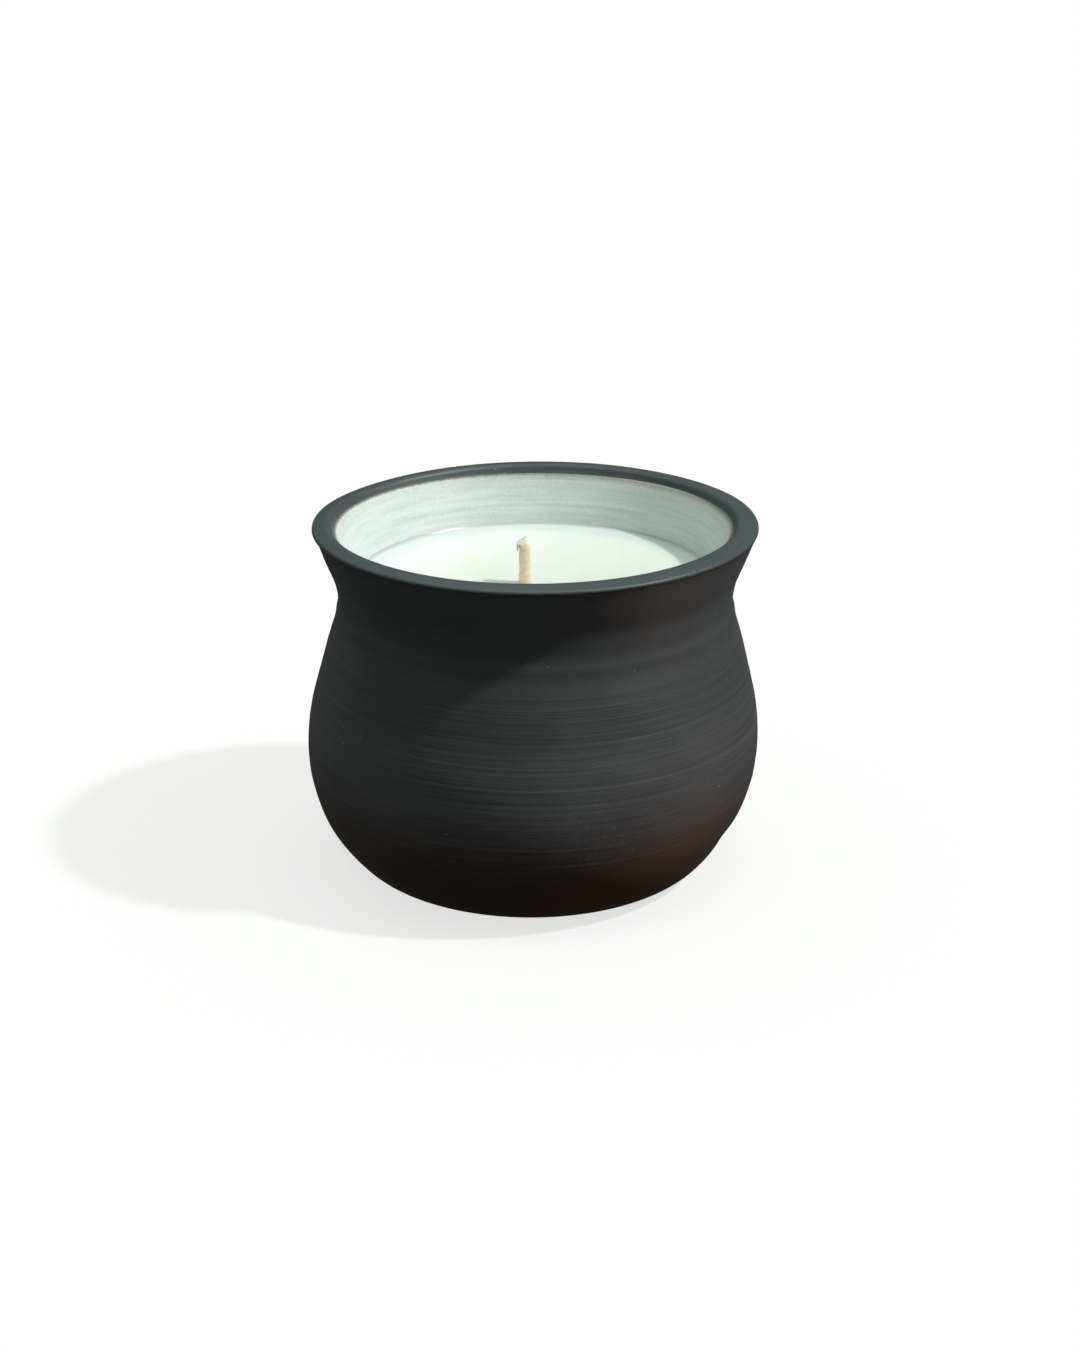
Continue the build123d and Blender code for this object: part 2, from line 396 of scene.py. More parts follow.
def interior_glaze(material):
    """The glaze skin: under it the clay, over it a ribbed surface that ends in a wavy edge."""
    edge_radius = flare_radius(WALL + GLAZE, GLAZE_EDGE_HEIGHT)
    under = wall_curve(WALL, FLOOR, INNER_HEEL_ARC, GLAZE_EDGE_HEIGHT + 0.3, 1.6)
    heel_arc = INNER_HEEL_ARC - GLAZE
    over = wall_curve(WALL + GLAZE, FLOOR + GLAZE, heel_arc, GLAZE_EDGE_HEIGHT - 0.3, 0.25)[::-1]
    over = over[(over[:, 1] > 56) | (np.arange(len(over)) % 5 == 0)]
    outline = chain(
        line((0, FLOOR), under[0], 3.0),
        under,
        arc((edge_radius + 0.18, GLAZE_EDGE_HEIGHT - 0.12), 0.2, 80, 157, 0.06),
        over,
        line(over[-1], (0, FLOOR + GLAZE), 3.0),
    )
    angle = round_angles()
    height = outline[:, 1:]
    past_edge = np.arange(len(outline))[:, None] > len(under) + 12
    ribs = rings(height, angle, INNER_RINGS)
    ribs += grooves(height, angle, 26, 57, 67, (0.2, 0.5), 0.010, 11)
    relief = past_edge * (height > 50) * ribs * (1 - smooth(height, 65.8, 66.9))
    piece = turned_piece("glaze_lining", outline, relief, material, "white_glaze", "interior_glaze")
    move_glaze_edge(piece, outline)
    return piece


def move_glaze_edge(piece, outline):
    """Slides the top of the glaze up and down the straight flare, so that its edge is wavy."""
    angle = round_angles()
    ragged = bump(angle_from(angle, 112), 0, 0.45)
    wave = 0.10 * ripple(angle, (1, 2, 3, 5), 31) + 0.015 * ripple(angle, (17, 24, 33), 32)
    wave += 0.06 * ragged * ripple(angle, (46, 61, 83, 97), 33) - 0.45 * bump(angle_from(angle, 84), 0, 0.7)
    share = smooth(outline[1:-1, 1:], 63.0, 67.2)
    slide = (share * wave).ravel()
    along = math.tan(math.radians(FLARE_LEAN))
    around = np.tile(angle[0], len(outline) - 2)
    points = np.array([v.co for v in piece.data.vertices])
    points[1:-1, 0] += slide * along * np.cos(around) * MM
    points[1:-1, 1] += slide * along * np.sin(around) * MM
    points[1:-1, 2] += slide * MM
    piece.data.vertices.foreach_set("co", points.ravel())
    piece.data.update()
    below = np.repeat(GLAZE_EDGE_HEIGHT + 0.1 - outline[1:-1, 1], SEGMENTS)
    paint(piece, "below_edge", np.concatenate([[50.0], below, [50.0]]))


def wick_line(heights):
    """The wick's centre at each height: upright in its tab, then leaning to its trimmed end."""
    low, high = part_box("wick")
    bends = (low.z / MM, 15.4, WAX_LEVEL, high.z / MM)
    x = np.interp(heights, bends, (0.0, 0.0, *WICK_X))
    y = np.interp(heights, bends, (0.0, 0.0, *WICK_Y))
    return x, y


def wax_surface(wall_radius):
    """The top of the wax from the wick out to the wall: it climbs both and is sunk round the
    wick."""
    radius = np.concatenate([
        WICK_RADIUS + np.linspace(0, 1, 14) ** 1.6 * 2.4,
        np.linspace(3.7, wall_radius - 1.7, 56),
        np.linspace(wall_radius - 1.7, wall_radius, 30)[1:],
    ])
    run = math.sqrt(MENISCUS_ARC ** 2 - (MENISCUS_ARC - MENISCUS_CLIMB) ** 2)
    into_arc = np.clip(radius - (wall_radius - run), 0, None)
    height = WAX_LEVEL + MENISCUS_ARC - np.sqrt(MENISCUS_ARC ** 2 - into_arc ** 2)
    height -= WAX_SINK * (1 - smooth(radius, 6, 31))
    height += 0.3 * np.exp(-(radius - WICK_RADIUS) / 0.35)
    height -= 0.03 * bump(radius, 17.0, 2.2)
    return np.column_stack([radius, height])


def wax_outline():
    """The wax's closed outline: over the top, down the glaze and back up round tab and wick."""
    wall_top = WAX_LEVEL + MENISCUS_CLIMB
    above_neck = wall_top - NECK_HEIGHT
    neck_arc = UPPER_NECK_ARC + WALL + GLAZE
    wall_radius = NECK_RADIUS + UPPER_NECK_ARC - math.sqrt(neck_arc ** 2 - above_neck ** 2)
    surface = wax_surface(wall_radius)
    skin = wall_curve(WALL + GLAZE, FLOOR + GLAZE, INNER_HEEL_ARC - GLAZE, 64.0, 0.9)
    skin = chain(skin[skin[:, 1] < wall_top - 0.3], [(wall_radius, wall_top)])[::-1]
    skin[:, 0] += 0.06 * smooth(skin[:, 1], 50, 56)
    tab_low, tab_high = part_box("wick_sustainer")
    tab_base, tab_top = tab_low.z / MM, tab_high.z / MM
    sticker_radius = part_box("wick_sticker")[1].x / MM
    neck_radius = WICK_RADIUS + 0.3
    runs = [surface, skin]
    corner = skin[-1]
    for point, step in (
        ((sticker_radius, FLOOR + GLAZE), 3.0),
        ((sticker_radius, tab_base + 0.3), 0.5),
        ((neck_radius + 0.6, tab_base + 0.75), 2.0),
        ((neck_radius, tab_top), 1.5),
        ((WICK_RADIUS, tab_top + 0.05), 0.2),
        ((WICK_RADIUS, surface[0, 1] - 0.2), 2.0),
    ):
        runs.append(line(corner, point, step))
        corner = point
    return chain(*runs)


def wax_fill(material):
    """The wax, warped with the jar at the wall and following the leaning wick in the middle."""
    outline = wax_outline()
    angle = round_angles()
    radius, height = outline[:, :1], outline[:, 1:]
    uneven = wax_unevenness(radius, angle) * (height > WAX_LEVEL - 1)
    x, y, z = warped(radius * np.cos(angle), radius * np.sin(angle), height + uneven)
    centre_x, centre_y = wick_line(height)
    to_wick = 1 - smooth(radius, WICK_RADIUS, 12)
    x += (centre_x - warped(0.0, 0.0, height)[0]) * to_wick
    y += centre_y * to_wick
    points = np.stack([x, y, z], -1).reshape(-1, 3)
    faces = [face[::-1] for face in grid_faces(len(outline), SEGMENTS, closed=True)]
    return make_object("poured_wax", points, faces, material, "wax", "wax_fill")


def wax_unevenness(radius, angle):
    """Slow dips and a few small pits in the set wax surface, in millimetres."""
    x, y = radius * np.cos(angle), radius * np.sin(angle)
    uneven = 0.04 * np.sin(x * 0.21 + 1.3) * np.sin(y * 0.17 + 0.4)
    rng = np.random.default_rng(17)
    for _ in range(26):
        pit_radius, pit_angle = rng.uniform(4, 31), rng.uniform(0, TURN)
        size, depth = rng.uniform(0.25, 0.6), rng.uniform(0.02, 0.09)
        away = np.hypot(x - pit_radius * math.cos(pit_angle), y - pit_radius * math.sin(pit_angle))
        uneven = uneven - depth * np.exp(-(away / size) ** 2)
    return uneven


# ---------------------------------------------------------------- wick

WICK_SEGMENTS = 72
CUT_HEIGHT = 65.7          # of the snipped end at the wick's centre


def tube(centres, radii, columns):
    """Points and faces of a closed tube round a line of centres. radii is a grid."""
    centres = np.asarray(centres, float)
    along = np.gradient(centres, axis=0)
    along /= np.linalg.norm(along, axis=1)[:, None]
    side = np.cross(along, (0.0, 1.0, 0.01))
    side /= np.linalg.norm(side, axis=1)[:, None]
    front = np.cross(along, side)
    angle = round_angles(columns)
    turn = np.cos(angle)[..., None] * side[:, None] + np.sin(angle)[..., None] * front[:, None]
    rows = centres[:, None] + turn * np.asarray(radii)[..., None]
    points = np.vstack([centres[:1], rows.reshape(-1, 3), centres[-1:]])
    return points, turned_faces(len(centres), columns)


def cut_surface(x, y):
    """Height of the snipped end about the wick's centre: it slopes to the front and the left."""
    left = np.clip(0.3 - x, 0, None)
    right = np.clip(x - 0.3, 0, None)
    fluff = 0.06 * np.sin(9.0 * x + 2.0 * y) * np.sin(6.0 * y + 1.0)
    fluff += 0.04 * np.sin(14.0 * x - 9.0 * y)
    return CUT_HEIGHT + 0.55 * y - 0.55 * left - 0.2 * right + fluff


def wick_radius(angle, height):
    """The waxed braid's radius: shallow plies, two wraps of wax and a tuft on the left."""
    above = height - WAX_LEVEL + WAX_SINK
    exposed = smooth(above, -0.5, 0.8)
    ply = np.abs(np.sin(1.5 * angle - TURN * above / 9.0))
    coat = 0.020 * ripple(angle + above * 0.5, (2, 3, 5), 71)
    coat += 0.015 * ripple(angle - above * 1.7, (1, 4), 72)
    lower_wrap = above - 2.3 - 0.4 * np.cos(angle)
    upper_wrap = above - 4.1 - 0.35 * np.cos(angle)
    wraps = 0.08 * (1 - smooth(lower_wrap, -0.06, 0.06)) + 0.12 * bump(lower_wrap, -0.12, 0.13)
    wraps += 0.12 * bump(upper_wrap, 0.0, 0.13) * smooth(np.cos(angle), -0.5, 0.3)
    nick = 0.14 * bump(above, 2.1, 0.16) * smooth(-np.cos(angle), 0.7, 1.0)
    tuft = 0.5 * smooth(above, 7.65, 8.1) * smooth(-np.cos(angle - 0.2), 0.25, 1.0)
    relief = -0.03 * (1 - ply) ** 2 + coat + wraps + nick + tuft
    return WICK_RADIUS - 0.04 + exposed * relief


def wick_core():
    """The wick from its tab up to the snipped end, closed by a sloping frayed face."""
    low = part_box("wick")[0].z / MM
    start = WAX_LEVEL + 4.5
    angle = round_angles(WICK_SEGMENTS)
    rise = np.concatenate([np.linspace(0, 0.55, 90), np.linspace(0.55, 1, 130)[1:]])[:, None]
    height = np.broadcast_to(low + (start - low) * rise, (len(rise), WICK_SEGMENTS))
    edge = cut_surface(WICK_RADIUS * np.cos(angle), WICK_RADIUS * np.sin(angle)) - 0.08
    height = np.vstack([height, start + (edge - start) * np.linspace(0, 1, 70)[1:, None]])
    radius = wick_radius(angle, height)
    inward = np.linspace(1, 0.04, 18)[1:, None]
    top_radius = radius[-1] * inward
    top = cut_surface(top_radius * np.cos(angle), top_radius * np.sin(angle)) - 0.08 * inward ** 4
    radius = np.vstack([radius, top_radius])
    height = np.vstack([height, top])
    centre_x, centre_y = wick_line(height)
    points = np.stack([centre_x + radius * np.cos(angle), centre_y + radius * np.sin(angle), height], -1)
    ends = np.array([[0.0, 0.0, low], [centre_x[-1, 0], centre_y[-1, 0], CUT_HEIGHT]])
    points = np.vstack([ends[:1], points.reshape(-1, 3), ends[1:]])
    return points, turned_faces(len(height), WICK_SEGMENTS)


def wick_fibres():
    """Yarn ends that hang from the tuft at the left of the snipped end."""
    rng = np.random.default_rng(23)
    centre_x, centre_y = wick_line(CUT_HEIGHT)
    fibres = []
    for _ in range(12):
        start_angle = math.radians(rng.uniform(160, 225))
        out = np.array([math.cos(start_angle), math.sin(start_angle), 0.0])
        start = np.array([centre_x, centre_y, CUT_HEIGHT - rng.uniform(0.5, 1.1)]) + 1.38 * out
        length = rng.uniform(0.6, 1.5)
        t = np.linspace(0, 1, 9)[:, None]
        sway = rng.uniform(-0.08, 0.2)
        centres = start + out * sway * t - np.array([0, 0, 1.0]) * length * t
        thickness = rng.uniform(0.05, 0.11) * (1 - 0.6 * t)
        fibres.append(tube(centres, np.repeat(thickness, 8, 1), 8))
    return fibres


def wick(material):
    """The whole wick as one mesh of closed shells: the waxed braid and its frayed yarn ends."""
    points, faces, first = [], [], 0
    for shell_points, shell_faces in (wick_core(), *wick_fibres()):
        points.append(shell_points)
        faces += [tuple(first + corner for corner in face) for face in shell_faces]
        first += len(shell_points)
    points = np.vstack(points)
    piece = make_object("braided_wick", points, faces, material, "cotton", "wick")
    x, _, z = points.T
    # Painted shade: a brown patch under the tuft on the left of the wick.
    paint(piece, "tuft_shade", bump(x, WICK_X[1] - 1.05, 0.35) * bump(z, CUT_HEIGHT - 1.15, 0.3))
    above = z - WAX_LEVEL + WAX_SINK - 0.28 * (x - wick_line(z)[0])
    paint(piece, "film", bump(above, 2.25, 0.14) + 0.8 * bump(above, 4.1, 0.12))
    return piece


# ---------------------------------------------------------------- materials

class Nodes:
    """A short way to build a material's node tree."""

    def __init__(self, name):
        self.material = bpy.data.materials.new(name)
        self.material.use_nodes = True
        self.tree = self.material.node_tree
        self.shader = self.tree.nodes["Principled BSDF"]

    def add(self, kind, inputs=None, **settings):
        """Adds a node, sets its properties, and sets or links its inputs."""
        node = self.tree.nodes.new(kind)
        for key, value in settings.items():
            setattr(node, key, value)
        for key, value in (inputs or {}).items():
            self.put(node.inputs[key], value)
        return node

    def put(self, socket, value):
        """Links a socket to another, or gives it a value."""
        if isinstance(value, bpy.types.NodeSocket):
            self.tree.links.new(value, socket)
        else:
            socket.default_value = value

    def set(self, **inputs):
        """Sets or links the shader's inputs, written with _ for a space."""
        for key, value in inputs.items():
            self.put(self.shader.inputs[key.replace("_", " ")], value)

    def math(self, operation, first, second, third=0.0):
        """One sum on sockets or numbers."""
        inputs = {0: first, 1: second, 2: third}
        return self.add("ShaderNodeMath", inputs, operation=operation).outputs[0]

    def rise(self, value, low, high):
        """Rises smoothly from 0 at low to 1 at high."""
        inputs = {0: value, 1: low, 2: high}
        return self.add("ShaderNodeMapRange", inputs, interpolation_type="SMOOTHSTEP").outputs[0]

    def axis(self, vector, index):
        """One coordinate of a vector."""
        return self.add("ShaderNodeSeparateXYZ", {0: vector}).outputs[index]

    def attribute(self, name):
        """The number that paint() stored at each point."""
        return self.add("ShaderNodeAttribute", attribute_name=name).outputs["Fac"]

    def noise(self, vector, scale, detail=3.0, roughness=0.5):
        """Soft random mottling. A higher scale makes it finer."""
        inputs = {"Vector": vector, "Scale": scale, "Detail": detail, "Roughness": roughness}
        return self.add("ShaderNodeTexNoise", inputs).outputs["Fac"]

    def ramp(self, factor, *stops):
        """A colour ramp from (place, colour) stops."""
        node = self.add("ShaderNodeValToRGB", {"Fac": factor})
        elements = node.color_ramp.elements
        while len(elements) < len(stops):
            elements.new(0.5)
        for element, (place, colour) in zip(elements, stops):
            element.position = place
            element.color = (*colour, 1.0)
        return node.outputs["Color"]

    def mix(self, factor, first, second, blend="MIX"):
        """Blends the second colour over the first."""
        node = self.add("ShaderNodeMix", data_type="RGBA", blend_type=blend)
        self.put(node.inputs[0], factor)
        for socket, value in ((node.inputs[6], first), (node.inputs[7], second)):
            if isinstance(value, tuple):
                value = (*value, 1.0)
            self.put(socket, value)
        return node.outputs[2]

    def position(self):
        """Coordinates fixed to the piece, in metres."""
        return self.add("ShaderNodeTexCoord").outputs["Object"]

    def turned_position(self, around, up):
        """Coordinates for noise in rings. around and up say how fast it changes each way."""
        x, y, z = self.add("ShaderNodeSeparateXYZ", {0: self.position()}).outputs
        square = self.math("ADD", self.math("MULTIPLY", x, x), self.math("MULTIPLY", y, y))
        radius = self.math("MAXIMUM", self.math("SQRT", square, 0.0), 1e-4)
        across = self.math("MULTIPLY", self.math("DIVIDE", x, radius), around)
        deep = self.math("MULTIPLY", self.math("DIVIDE", y, radius), around)
        high = self.math("MULTIPLY", z, up)
        return self.add("ShaderNodeCombineXYZ", {0: across, 1: deep, 2: high}).outputs[0]

    def bump(self, height, distance, strength=1.0, normal=None):
        """A normal tilted by fine relief up to distance metres deep."""
        inputs = {"Height": height, "Distance": distance, "Strength": strength}
        if normal is not None:
            inputs["Normal"] = normal
        return self.add("ShaderNodeBump", inputs).outputs[0]


def stoneware_material():
    """Matt black clay: fine throwing lines and pale specks, with a lighter belly of dust and painted sheen,
    a painted sheen patch on the front, a browner, darker foot of painted warm light and shade, painted
    light on the neck and flare and painted shade on the lip top.
    """
    n = Nodes("stoneware")
    place = n.position()
    height = n.axis(place, 2)
    patches = n.noise(place, 55.0, 3.0)
    grit = n.noise(place, 2600.0, 2.0, 0.6)
    lines, tone = throwing_lines(n, height)
    tone = n.math("ADD", tone, n.math("MULTIPLY_ADD", grit, 0.3, n.math("MULTIPLY", patches, 0.25)))
    # A soft patch of painted sheen lightens the clay low on the front.
    tone = n.math("ADD", tone, n.math("MULTIPLY", sheen_patch(n, place), 0.3))
    dark, middle, pale = (0.044, 0.0445, 0.047), (0.066, 0.066, 0.069), (0.102, 0.102, 0.106)
    colour = n.ramp(tone, (0.05, dark), (0.27, middle), (0.55, pale))
    colour = n.mix(n.math("MULTIPLY", specks(n, place), 0.6), colour, (0.32, 0.32, 0.31))
    for low, high, tint in (
        (0.040, 0.031, (1.2, 1.18, 1.19)),       # lighter below the belly: partly dust, partly painted sheen
        (0.028, 0.008, (0.86, 0.58, 0.42)),      # browner and darker towards the foot: painted warm bounce light and shade
        (0.052, 0.058, (1.37, 1.49, 1.53)),      # neck, flare and lip lighter: painted light
        (0.0673, 0.0682, (0.68, 0.72, 0.73)),    # lip top darker and cooler: painted shade, taking back most of the painted light above
    ):
        colour = n.mix(n.rise(height, low, high), colour, tint, "MULTIPLY")
    rough = n.math("MULTIPLY_ADD", patches, 0.12, 0.45)
    lines_bump = n.bump(lines, 0.00006, 0.5)
    n.set(Base_Color=colour, Roughness=rough, Normal=n.bump(grit, 0.00003, 0.5, lines_bump))
    n.set(Specular_IOR_Level=0.6)
    return n.material


def throwing_lines(n, height):
    """Fine turned lines, strongest on the belly, and the tone that they and broader rings give."""
    fine = n.noise(n.turned_position(1.4, 6000), 1.0, 2.0, 0.6)
    broad = n.noise(n.turned_position(1.6, 1100), 1.0, 2.0, 0.5)
    belly = n.math("MULTIPLY", n.rise(height, 0.012, 0.022), n.rise(height, 0.0495, 0.0455))
    lined = n.math("MULTIPLY_ADD", belly, 0.85, 0.15)
    lines = n.math("MULTIPLY", n.math("SUBTRACT", fine, 0.5), lined)
    broad_share = n.math("MULTIPLY", lined, 0.18)
    fine_share = n.math("MULTIPLY", lines, 0.8)
    return lines, n.math("MULTIPLY_ADD", n.math("SUBTRACT", broad, 0.5), broad_share, fine_share)


def specks(n, place):
    """Small pale grains, 1 where there is one."""
    cells = n.add("ShaderNodeTexVoronoi", {"Vector": place, "Scale": 260.0, "Randomness": 1.0})
    chosen = n.math("GREATER_THAN", n.axis(cells.outputs["Color"], 0), 0.62)
    return n.math("MULTIPLY", chosen, n.math("LESS_THAN", cells.outputs["Distance"], 0.045))


def sheen_patch(n, place):
    """How strongly the clay is painted pale: one soft patch of painted sheen low on the front, made patchy
    by noise.
    """
    ends = {0: place, 1: (0.012, -0.041, 0.021)}
    away = n.add("ShaderNodeVectorMath", ends, operation="DISTANCE").outputs["Value"]
    patchy = n.math("GREATER_THAN", n.noise(place, 700.0, 4.0, 0.7), 0.55)
    return n.math("MULTIPLY", n.rise(away, 0.012, 0.002), n.math("MULTIPLY", patchy, 0.5))


def glaze_material():
    """Chalky white satin glaze: faint streaks, fine mottling and an edge that thins to brown,
    crisply on one side of the jar and softly on the other."""
    n = Nodes("white_glaze")
    place = n.position()
    streak = n.noise(n.turned_position(2.2, 1500), 1.0, 3.0, 0.55)
    wide = n.noise(n.turned_position(2.5, 420), 1.0, 2.0, 0.5)
    cloud = n.noise(place, 140.0, 3.0)
    grain = n.noise(place, 1900.0, 3.0, 0.7)
    tone = n.math("MULTIPLY_ADD", streak, 0.35, n.math("MULTIPLY", wide, 0.3))
    tone = n.math("MULTIPLY_ADD", grain, 0.35, tone)
    grey, middle, chalk = (0.60, 0.65, 0.64), (0.74, 0.785, 0.77), (0.85, 0.88, 0.865)
    white = n.ramp(tone, (0.34, grey), (0.5, middle), (0.66, chalk))
    white = n.mix(n.math("MULTIPLY", cloud, 0.2), white, (0.70, 0.69, 0.65))
    uneven = n.math("SUBTRACT", n.noise(place, 1100.0, 3.0), 0.5)
    below = n.math("MULTIPLY_ADD", uneven, 0.3, n.attribute("below_edge"))
    full = (1.0, 1.0, 1.0)
    crisp = n.ramp(below, (0.0, (0.42, 0.37, 0.33)), (0.08, (0.84, 0.81, 0.79)), (0.25, full))
    soft = n.ramp(below, (0.0, (0.42, 0.38, 0.35)), (0.3, (0.80, 0.76, 0.75)), (1.0, full))
    edge = n.mix(n.rise(n.axis(place, 0), -0.030, 0.012), crisp, soft)
    colour = n.mix(1.0, white, edge, "MULTIPLY")
    rough = n.math("MULTIPLY_ADD", cloud, 0.2, 0.36)
    relief = n.math("MULTIPLY_ADD", streak, 0.5, n.math("MULTIPLY", grain, 0.4))
    n.set(Base_Color=colour, Roughness=rough, Normal=n.bump(relief, 0.00007, 0.5))
    n.set(Specular_IOR_Level=0.45)
    return n.material


def wax_material():
    """Ivory plant wax: creamy in the middle, cooler by the wall, with painted shade in a band along the
    wall, translucent with a soft sheen.
    """
    n = Nodes("wax")
    place = n.position()
    cloud = n.noise(place, 60.0, 3.0)
    frost = n.noise(place, 420.0, 4.0, 0.6)
    ends = {0: place, 1: (1.0, 1.0, 0.0)}
    flat = n.add("ShaderNodeVectorMath", ends, operation="MULTIPLY").outputs[0]
    radius = n.add("ShaderNodeVectorMath", {0: flat}, operation="LENGTH").outputs["Value"]
    outward = n.math("MULTIPLY_ADD", n.math("SUBTRACT", cloud, 0.5), 0.012, radius)
    tone = n.math("MULTIPLY_ADD", frost, 0.3, n.math("MULTIPLY", cloud, 0.7))
    cool = n.ramp(tone, (0.35, (0.885, 0.905, 0.86)), (0.6, (0.915, 0.935, 0.895)))
    cream = n.ramp(tone, (0.35, (0.975, 0.95, 0.86)), (0.6, (0.99, 0.975, 0.895)))
    colour = n.mix(n.rise(outward, 0.026, 0.013), cool, cream)
    # Painted shade: a greyer band on the wax along the wall, half as strong where the wax climbs it.
    by_wall = n.rise(radius, 0.0275, 0.0320)
    climb = n.rise(n.axis(place, 2), 0.05745, 0.0578)
    wall_shade = n.math("MULTIPLY_ADD", n.math("MULTIPLY", by_wall, climb), -0.5, by_wall)
    colour = n.mix(wall_shade, colour, (0.76, 0.815, 0.79))
    rough = n.math("MULTIPLY_ADD", cloud, 0.12, 0.17)
    n.set(Base_Color=colour, Roughness=rough, Normal=n.bump(frost, 0.00004, 0.2))
    n.set(Subsurface_Weight=0.5, Subsurface_Scale=0.002, Subsurface_Radius=(1.0, 0.88, 0.7))
    n.set(Specular_IOR_Level=0.9)
    return n.material


def cotton_material():
    """Waxed cotton: tan yarn, pale at the cut and where wax wraps it, with painted brown shade under its
    tuft.
    """
    n = Nodes("cotton")
    place = n.position()
    height = n.axis(place, 2)
    yarn = n.noise(place, 1500.0, 3.0, 0.6)
    coat = n.noise(place, 420.0, 2.0)
    colour = n.ramp(yarn, (0.3, (0.76, 0.61, 0.40)), (0.7, (0.91, 0.79, 0.58)))
    for cover, share, tint in (
        (coat, 0.35, (0.90, 0.83, 0.68)),
        (n.rise(height, 0.0612, 0.0575), 0.5, (0.88, 0.66, 0.44)),
        (n.rise(height, 0.0640, 0.0650), 0.8, (0.96, 0.92, 0.81)),
        (n.attribute("film"), 0.8, (0.99, 0.95, 0.86)),
        # painted shade under the tuft
        (n.attribute("tuft_shade"), 0.75, (0.45, 0.26, 0.12)),
    ):
        colour = n.mix(n.math("MULTIPLY", cover, share), colour, tint)
    rough = n.math("MULTIPLY_ADD", coat, 0.2, 0.38)
    n.set(Base_Color=colour, Roughness=rough, Normal=n.bump(yarn, 0.00010, 0.5))
    n.set(Subsurface_Weight=0.4, Subsurface_Scale=0.001, Subsurface_Radius=(1.0, 0.7, 0.4))
    return n.material


def tinplate_material():
    """Bright tinplate with a drawn grain."""
    n = Nodes("tinplate")
    grain = n.noise(n.turned_position(60.0, 900), 1.0, 2.0)
    colour = n.ramp(grain, (0.3, (0.52, 0.52, 0.51)), (0.7, (0.70, 0.70, 0.68)))
    rough = n.math("MULTIPLY_ADD", grain, 0.2, 0.25)
    n.set(Base_Color=colour, Roughness=rough, Normal=n.bump(grain, 0.00002, 0.4))
    n.set(Metallic=1.0)
    return n.material


def foam_material():
    """White closed-cell foam with an adhesive face."""
    n = Nodes("foam")
    inputs = {"Vector": n.position(), "Scale": 2600.0}
    cells = n.add("ShaderNodeTexVoronoi", inputs).outputs["Distance"]
    colour = n.ramp(cells, (0.0, (0.66, 0.65, 0.61)), (0.6, (0.84, 0.83, 0.79)))
    rough = n.math("MULTIPLY_ADD", cells, 0.2, 0.6)
    n.set(Base_Color=colour, Roughness=rough, Normal=n.bump(cells, 0.0001, 0.6))
    return n.material


# ---------------------------------------------------------------- floor, light and camera

LOOK_AT = Vector((0, 0, 0.0265))


def toward(azimuth, elevation):
    """Unit direction from the jar: azimuth 0 is the viewer's side, 90 is +X."""
    a, e = math.radians(azimuth), math.radians(elevation)
    return Vector((math.sin(a) * math.cos(e), -math.cos(a) * math.cos(e), math.sin(e)))


def add_light(kind, name, azimuth, elevation, energy, colour, distance=0.0):
    """A light that faces the jar from a direction."""
    light = bpy.data.lights.new(name, kind)
    light.energy = energy
    light.color = colour
    lamp = bpy.data.objects.new(name, light)
    direction = toward(azimuth, elevation)
    lamp.location = LOOK_AT + direction * distance
    lamp.rotation_euler = direction.to_track_quat("Z", "Y").to_euler()
    bpy.context.scene.collection.objects.link(lamp)
    return light


def add_lights():
    """A key from the upper right, a faint wide light from the back left, a warm bounce from low
    on the right, and the room."""
    key = add_light("SUN", "key", 76, 49.5, 2.22, (0.96, 1.0, 0.985))
    key.angle = math.radians(3.5)
    edge = add_light("SUN", "edge", -125, 8, 0.04, (1.0, 1.0, 0.93))
    edge.angle = math.radians(40)
    bounce = add_light("AREA", "bounce", 78, -30, 0.021, (1.0, 0.50, 0.25), distance=0.22)
    bounce.shape = "DISK"
    bounce.size = 0.16
    add_room()


# The room's light by direction, from straight down (0) through level (0.5) to straight up (1)
ROOM_LIGHT = (
    (0.0, (0.008, 0.006, 0.004)),
    (0.30, (0.042, 0.042, 0.041)),
    (0.45, (0.062, 0.066, 0.067)),
    (0.52, (0.045, 0.050, 0.050)),
    (0.60, (0.027, 0.031, 0.031)),
    (0.75, (0.037, 0.043, 0.042)),
    (0.88, (0.17, 0.19, 0.177)),
    (1.0, (0.80, 0.89, 0.82)),
)


def add_room():
    """Dim surroundings: dark below, cool at eye level, bright overhead, a little dimmer on the
    near side."""
    world = bpy.data.worlds.new("room")
    world.use_nodes = True
    nodes, links = world.node_tree.nodes, world.node_tree.links
    background = nodes["Background"]
    split = nodes.new("ShaderNodeSeparateXYZ")
    links.new(nodes.new("ShaderNodeTexCoord").outputs["Generated"], split.inputs[0])
    upward = nodes.new("ShaderNodeMapRange")
    upward.inputs["From Min"].default_value = -1.0
    links.new(split.outputs["Z"], upward.inputs["Value"])
    ramp = nodes.new("ShaderNodeValToRGB")
    links.new(upward.outputs["Result"], ramp.inputs["Fac"])
    links.new(ramp.outputs["Color"], background.inputs["Color"])
    elements = ramp.color_ramp.elements
    for _ in ROOM_LIGHT[2:]:
        elements.new(0.5)
    for element, (position, colour) in zip(elements, ROOM_LIGHT):
        element.position = position
        element.color = (*colour, 1.0)
    depth = nodes.new("ShaderNodeMapRange")
    depth.inputs["From Min"].default_value = -1.0
    depth.inputs["To Min"].default_value = 1.8
    depth.inputs["To Max"].default_value = 2.0
    links.new(split.outputs["Y"], depth.inputs["Value"])
    links.new(depth.outputs["Result"], background.inputs["Strength"])
    bpy.context.scene.world = world


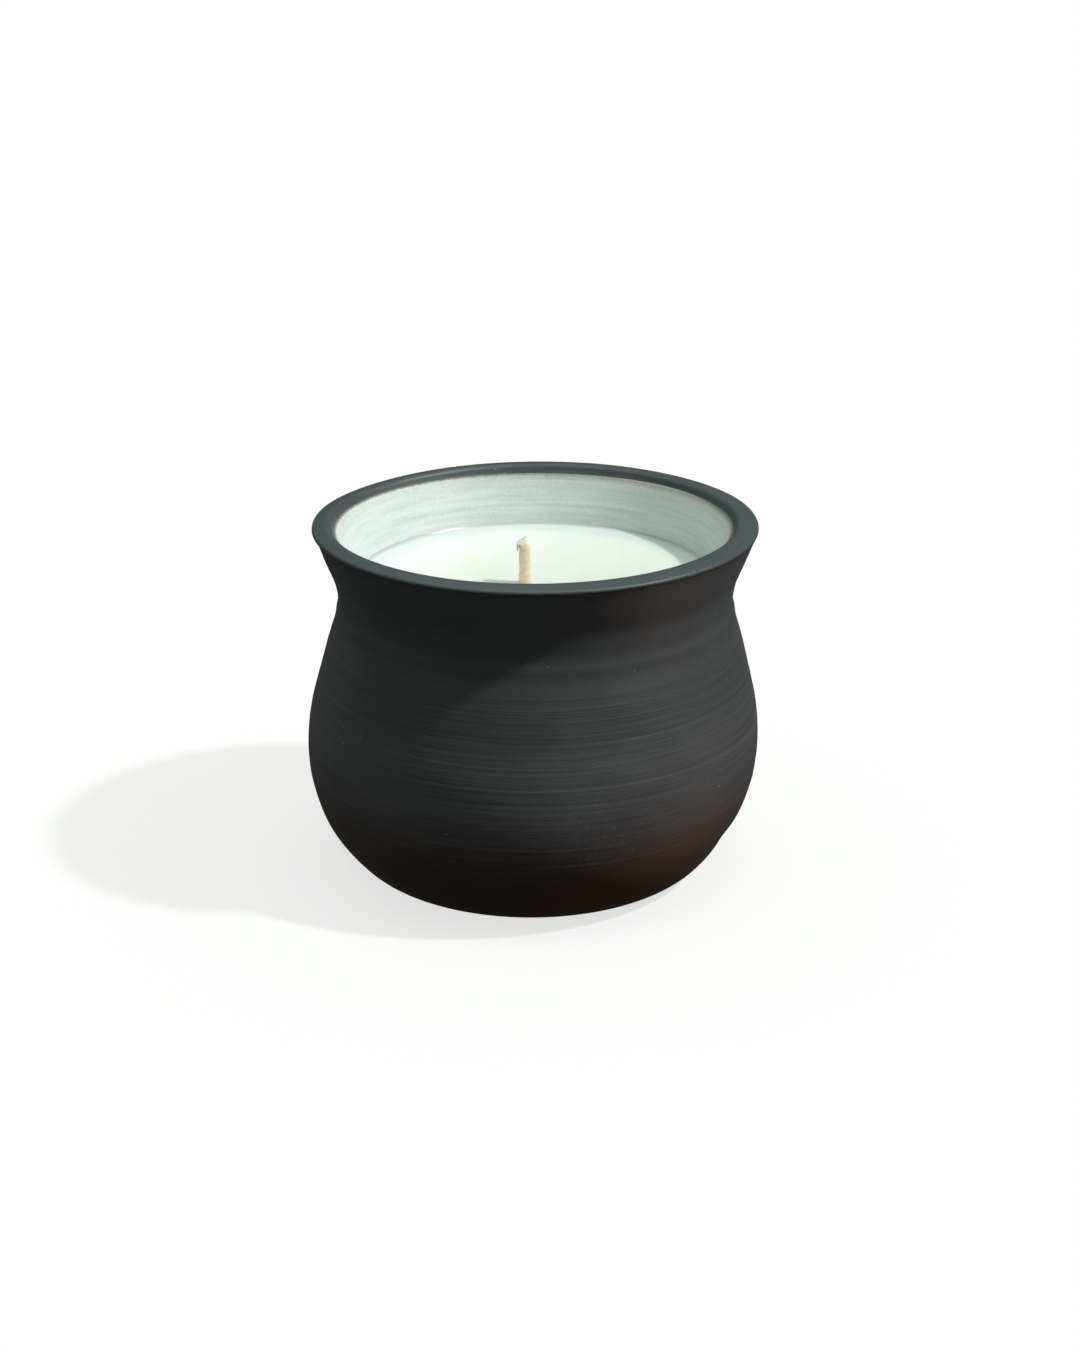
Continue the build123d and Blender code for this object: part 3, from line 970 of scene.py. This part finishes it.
def stage_material(name, shade, glow):
    """Plain matt paint that glows a little. shade is what it takes from the lights."""
    n = Nodes(name)
    n.set(Base_Color=(shade, shade, 0.98 * shade, 1.0), Roughness=1.0, Specular_IOR_Level=0.0)
    n.set(Emission_Color=(1.0, 0.995, 0.99, 1.0), Emission_Strength=glow)
    return n.material


def add_stage():
    """A plain pale floor and backdrop. Both show only to the camera, so neither lights the jar."""
    reach, sides = 6.0, 48
    turns = [TURN * i / sides for i in range(sides)]
    floor_points = [(reach * math.cos(turn), reach * math.sin(turn), 0.0) for turn in turns]
    wall_points = floor_points + [(x, y, 2 * reach) for x, y, _ in floor_points]
    beside = [(i, (i + 1) % sides) for i in range(sides)]
    wall_faces = [(i, j, sides + j, sides + i) for i, j in beside]
    for name, points, faces, shade, glow in (
        ("floor", floor_points, [tuple(range(sides))], 0.27, 0.73),
        ("backdrop", wall_points, wall_faces, 0.05, 0.95),
    ):
        mesh = bpy.data.meshes.new(name)
        mesh.from_pydata(points, [], faces)
        mesh.materials.append(stage_material("pale_" + name, shade, glow))
        piece = bpy.data.objects.new(name, mesh)
        bpy.context.scene.collection.objects.link(piece)
        piece.visible_diffuse = False
        piece.visible_glossy = False
        piece.visible_transmission = False
        piece.visible_shadow = False


def add_camera():
    """A camera 0.48 m off, looking down on the jar by about 21 degrees."""
    distance, elevation = 0.48, 21.8
    looking_down, turned_right = 20.59, 0.166
    camera = bpy.data.objects.new("camera", bpy.data.cameras.new("camera"))
    camera.data.sensor_width = 36.0
    camera.data.lens = 65.45
    camera.location = LOOK_AT + toward(0, elevation) * distance
    camera.rotation_euler = (math.radians(90 - looking_down), 0, -math.radians(turned_right))
    bpy.context.scene.collection.objects.link(camera)
    bpy.context.scene.camera = camera


def dress_hidden_pieces():
    """The tab and its foam disc are hidden in the wax, so they keep their CAD meshes."""
    hidden = {"wick_sustainer": tinplate_material(), "wick_sticker": foam_material()}
    for node, material in hidden.items():
        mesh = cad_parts[node].data
        mesh.materials.clear()
        mesh.materials.append(material)


def main():
    """Builds the whole scene round the CAD frame."""
    bpy.context.scene.view_settings.view_transform = "Standard"
    add_camera()
    add_lights()
    add_stage()
    jar_body(stoneware_material())
    interior_glaze(glaze_material())
    wax_fill(wax_material())
    wick(cotton_material())
    dress_hidden_pieces()


main()
